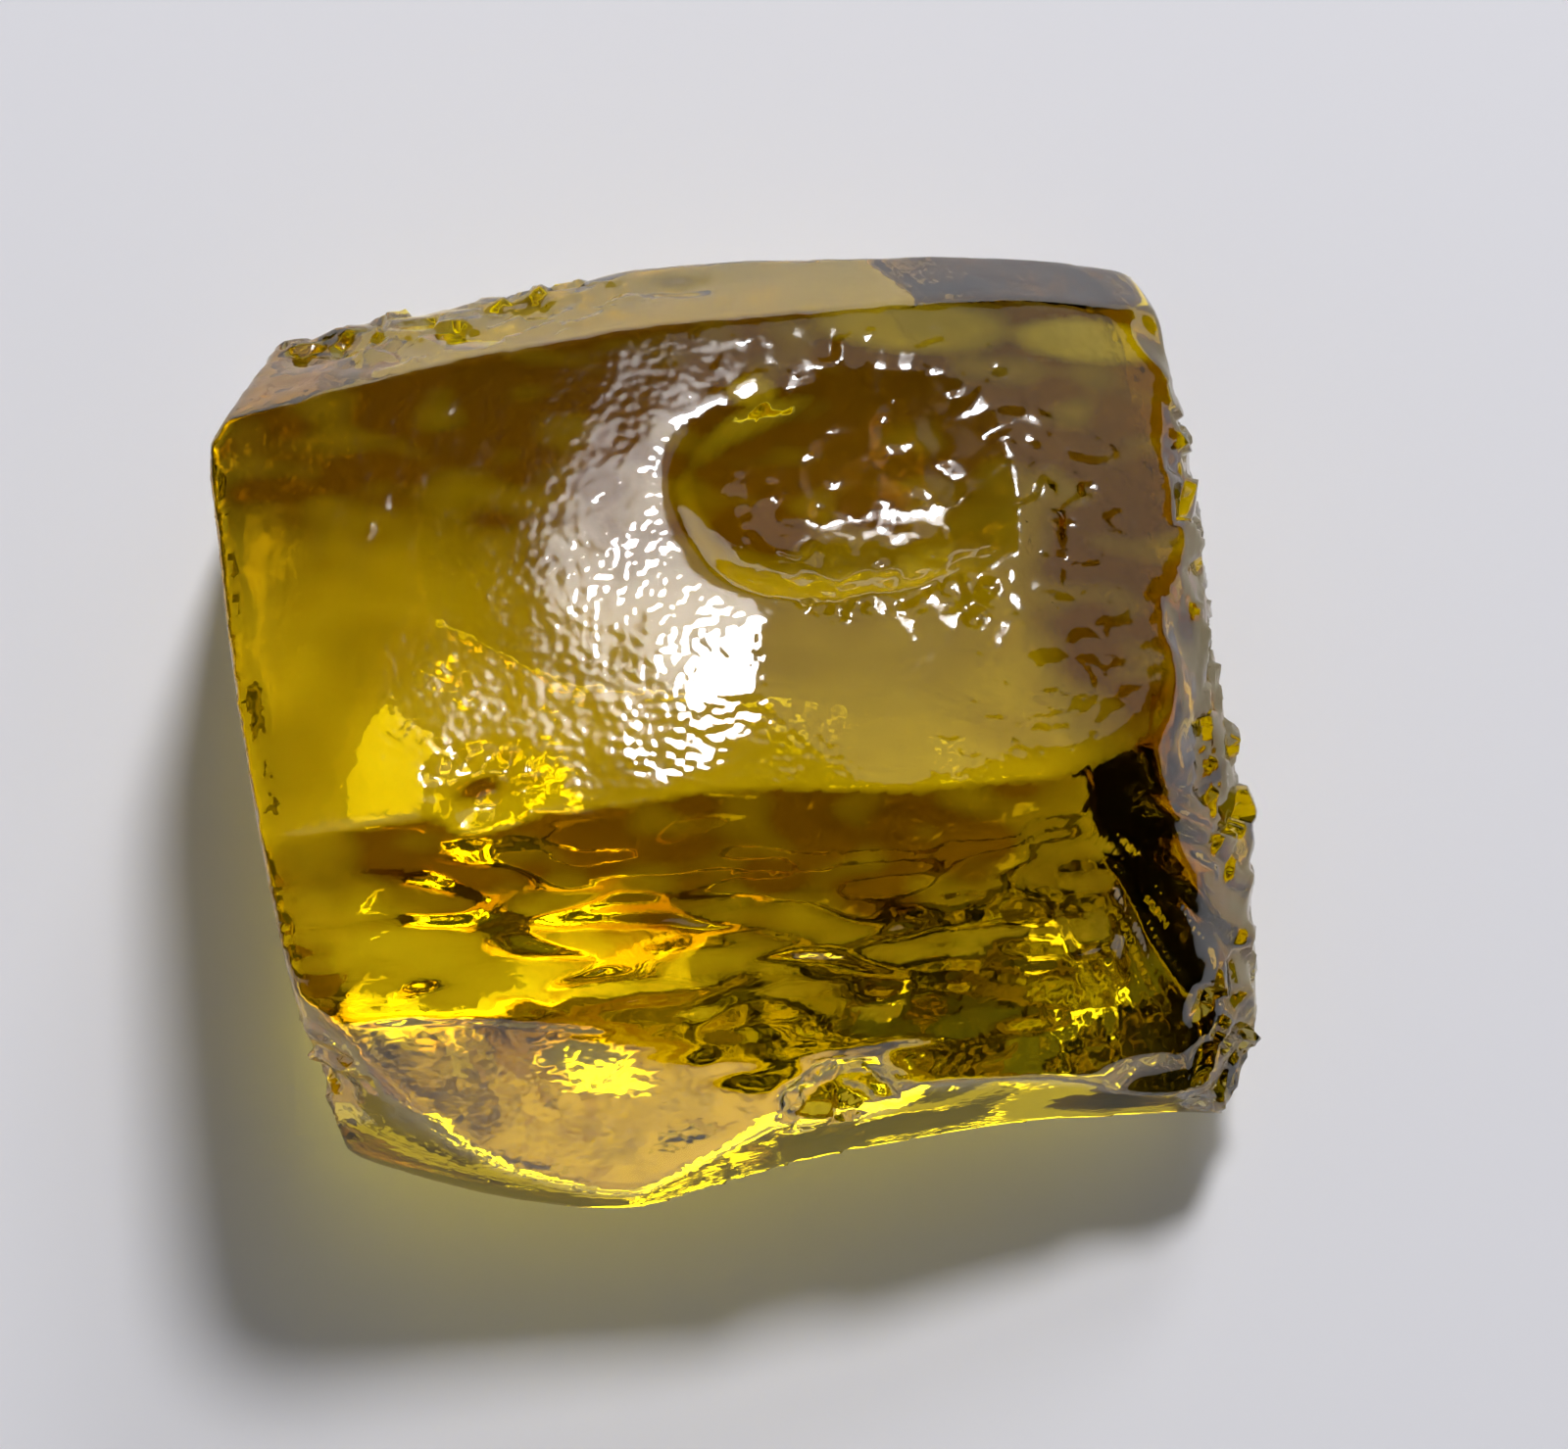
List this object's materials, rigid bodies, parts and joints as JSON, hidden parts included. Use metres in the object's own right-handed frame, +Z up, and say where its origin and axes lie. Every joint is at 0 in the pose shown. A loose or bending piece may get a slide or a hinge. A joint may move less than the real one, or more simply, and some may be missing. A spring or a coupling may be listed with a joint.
{
  "type": "rough zircon",
  "caption": "Rough honey-yellow zircon crystal, broken and water-worn, see-through, lying on its flat base.",
  "frame": {"origin": "on the surface that the stone lies on, under the middle of its box", "axes": "+X along the long side, +Y to the bevelled back, +Z up away from the flat base"},
  "size_m": [0.022, 0.0202, 0.0107],
  "materials": {
    "zircon": "clear honey-yellow crystal, finely pebbled on its worn faces and glassy on its breaks"
  },
  "bodies": {
    "root": {"zircon": "zircon"}
  },
  "joints": []
}
